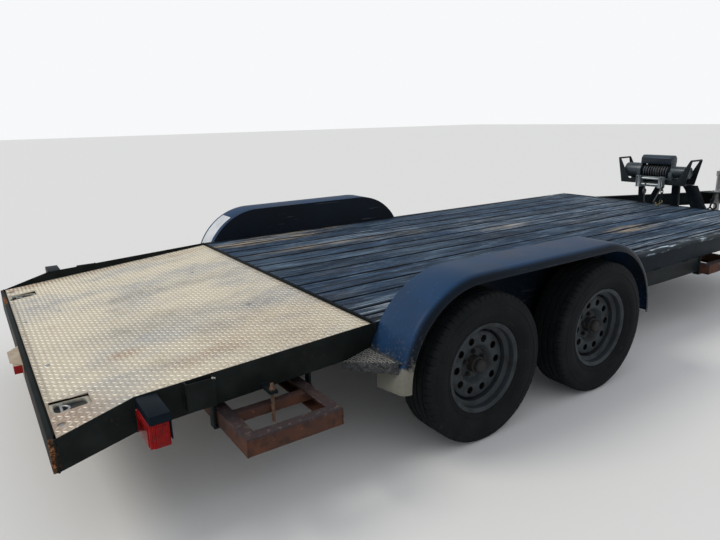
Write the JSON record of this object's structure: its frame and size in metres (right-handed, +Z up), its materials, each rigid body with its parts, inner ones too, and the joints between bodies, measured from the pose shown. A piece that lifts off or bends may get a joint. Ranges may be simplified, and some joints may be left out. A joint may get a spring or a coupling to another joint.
{
  "type": "tandem axle car trailer",
  "caption": "Low car transporter trailer with a planked deck, tread plate dovetail, tandem wheels under fenders, stored ramps and a winch on its tongue.",
  "frame": {"origin": "on the floor under the middle of the trailer's box", "axes": "+X forwards to the coupler, +Y to the left side, +Z up"},
  "size_m": [6.833, 2.6202, 1.03],
  "materials": {
    "frame_paint": "worn black paint",
    "fender_paint": "semi-gloss black paint",
    "deck_wood": "weathered grey planks",
    "tread_plate": "worn tread plate",
    "step_plate": "dusty tread plate",
    "tyre": "dusty rubber",
    "rim_paint": "dark silver paint",
    "hub_metal": "dusty dark iron",
    "axle_metal": "dull black paint",
    "spring_steel": "rusty spring steel",
    "ramp_rust": "red-brown primer and rust",
    "zinc": "dull zinc plate",
    "lamp_red": "red lens",
    "lamp_tan": "faded tan paint",
    "winch_black": "satin black",
    "winch_box": "blue-black plastic",
    "winch_grey": "grey enamel",
    "rope_steel": "wire rope"
  },
  "bodies": {
    "chassis": {"rail_right": "frame_paint", "rail_left": "frame_paint", "subrails": "frame_paint", "dovetail_rails": "frame_paint", "rear_channel": "frame_paint", "front_channel": "frame_paint", "crossmembers": "frame_paint", "deck_planks": "deck_wood", "tread_plate": "tread_plate", "tie_pans": "tread_plate", "fender_right": "fender_paint", "fender_left": "fender_paint", "side_steps": "step_plate", "stake_pockets": "frame_paint", "tongue_rail_right": "frame_paint", "tongue_rail_left": "frame_paint", "tongue_plates": "frame_paint", "coupler": "frame_paint", "jack_tube": "zinc", "jack_crank": "zinc", "lamp_hoods": "frame_paint", "tail_lamps": "lamp_red", "centre_lamp": "lamp_tan", "axle_front": "axle_metal", "axle_rear": "axle_metal", "leaf_springs": "spring_steel", "spring_clamps": "spring_steel", "spring_hangers": "frame_paint", "equalizers": "spring_steel", "ramp_carriers": "frame_paint", "winch_stand": "winch_black", "winch_body": "winch_grey", "winch_box": "winch_box", "fairlead": "zinc", "winch_hook": "rope_steel"},
    "tie_ring_right": {"tie_ring_right": "zinc"},
    "tie_ring_left": {"tie_ring_left": "zinc"},
    "coupler_latch": {"coupler_latch": "zinc"},
    "jack_leg": {"jack_leg": "zinc"},
    "ramp_rear": {"ramp_rear": "ramp_rust"},
    "ramp_front": {"ramp_front": "ramp_rust"},
    "ramp_pin": {"ramp_pin": "zinc"},
    "winch_drum": {"winch_drum": "rope_steel"},
    "wheel_front_right": {"tyre_front_right": "tyre", "rim_front_right": "rim_paint", "hub_front_right": "hub_metal"},
    "wheel_front_left": {"tyre_front_left": "tyre", "rim_front_left": "rim_paint", "hub_front_left": "hub_metal"},
    "wheel_rear_right": {"tyre_rear_right": "tyre", "rim_rear_right": "rim_paint", "hub_rear_right": "hub_metal"},
    "wheel_rear_left": {"tyre_rear_left": "tyre", "rim_rear_left": "rim_paint", "hub_rear_left": "hub_metal"}
  },
  "joints": [
    {"name": "wheel_front_right_spin", "type": "hinge", "parent": "chassis", "child": "wheel_front_right", "pos_m": [-0.8545, -1.2065, 0.344], "axis": [0, 1, 0], "continuous": true},
    {"name": "wheel_front_left_spin", "type": "hinge", "parent": "chassis", "child": "wheel_front_left", "pos_m": [-0.8545, 1.2065, 0.344], "axis": [0, 1, 0], "continuous": true},
    {"name": "wheel_rear_right_spin", "type": "hinge", "parent": "chassis", "child": "wheel_rear_right", "pos_m": [-1.6925, -1.2065, 0.344], "axis": [0, 1, 0], "continuous": true},
    {"name": "wheel_rear_left_spin", "type": "hinge", "parent": "chassis", "child": "wheel_rear_left", "pos_m": [-1.6925, 1.2065, 0.344], "axis": [0, 1, 0], "continuous": true},
    {"name": "tie_ring_right_hinge", "type": "hinge", "parent": "chassis", "child": "tie_ring_right", "pos_m": [-3.3015, -0.812, 0.45286], "axis": [0, -1, 0], "range_deg": [0, 95]},
    {"name": "tie_ring_left_hinge", "type": "hinge", "parent": "chassis", "child": "tie_ring_left", "pos_m": [-3.3015, 0.812, 0.45286], "axis": [0, -1, 0], "range_deg": [0, 95]},
    {"name": "jack_leg_lift", "type": "slide", "parent": "chassis", "child": "jack_leg", "axis": [0, 0, 1], "range_m": [-0.12, 0.18]},
    {"name": "coupler_latch_hinge", "type": "hinge", "parent": "chassis", "child": "coupler_latch", "pos_m": [3.3055, 0, 0.602], "axis": [0, -1, 0], "range_deg": [0, 95]},
    {"name": "ramp_rear_play", "type": "slide", "parent": "chassis", "child": "ramp_rear", "axis": [0, 1, 0], "range_m": [0, 0.13]},
    {"name": "ramp_front_slide", "type": "slide", "parent": "chassis", "child": "ramp_front", "axis": [0, -1, 0], "range_m": [0, 1.2]},
    {"name": "ramp_pin_lift", "type": "slide", "parent": "chassis", "child": "ramp_pin", "axis": [0, 0, 1], "range_m": [0, 0.11]},
    {"name": "winch_drum_spin", "type": "hinge", "parent": "chassis", "child": "winch_drum", "pos_m": [1.8615, 0, 0.885], "axis": [0, 1, 0], "continuous": true}
  ]
}
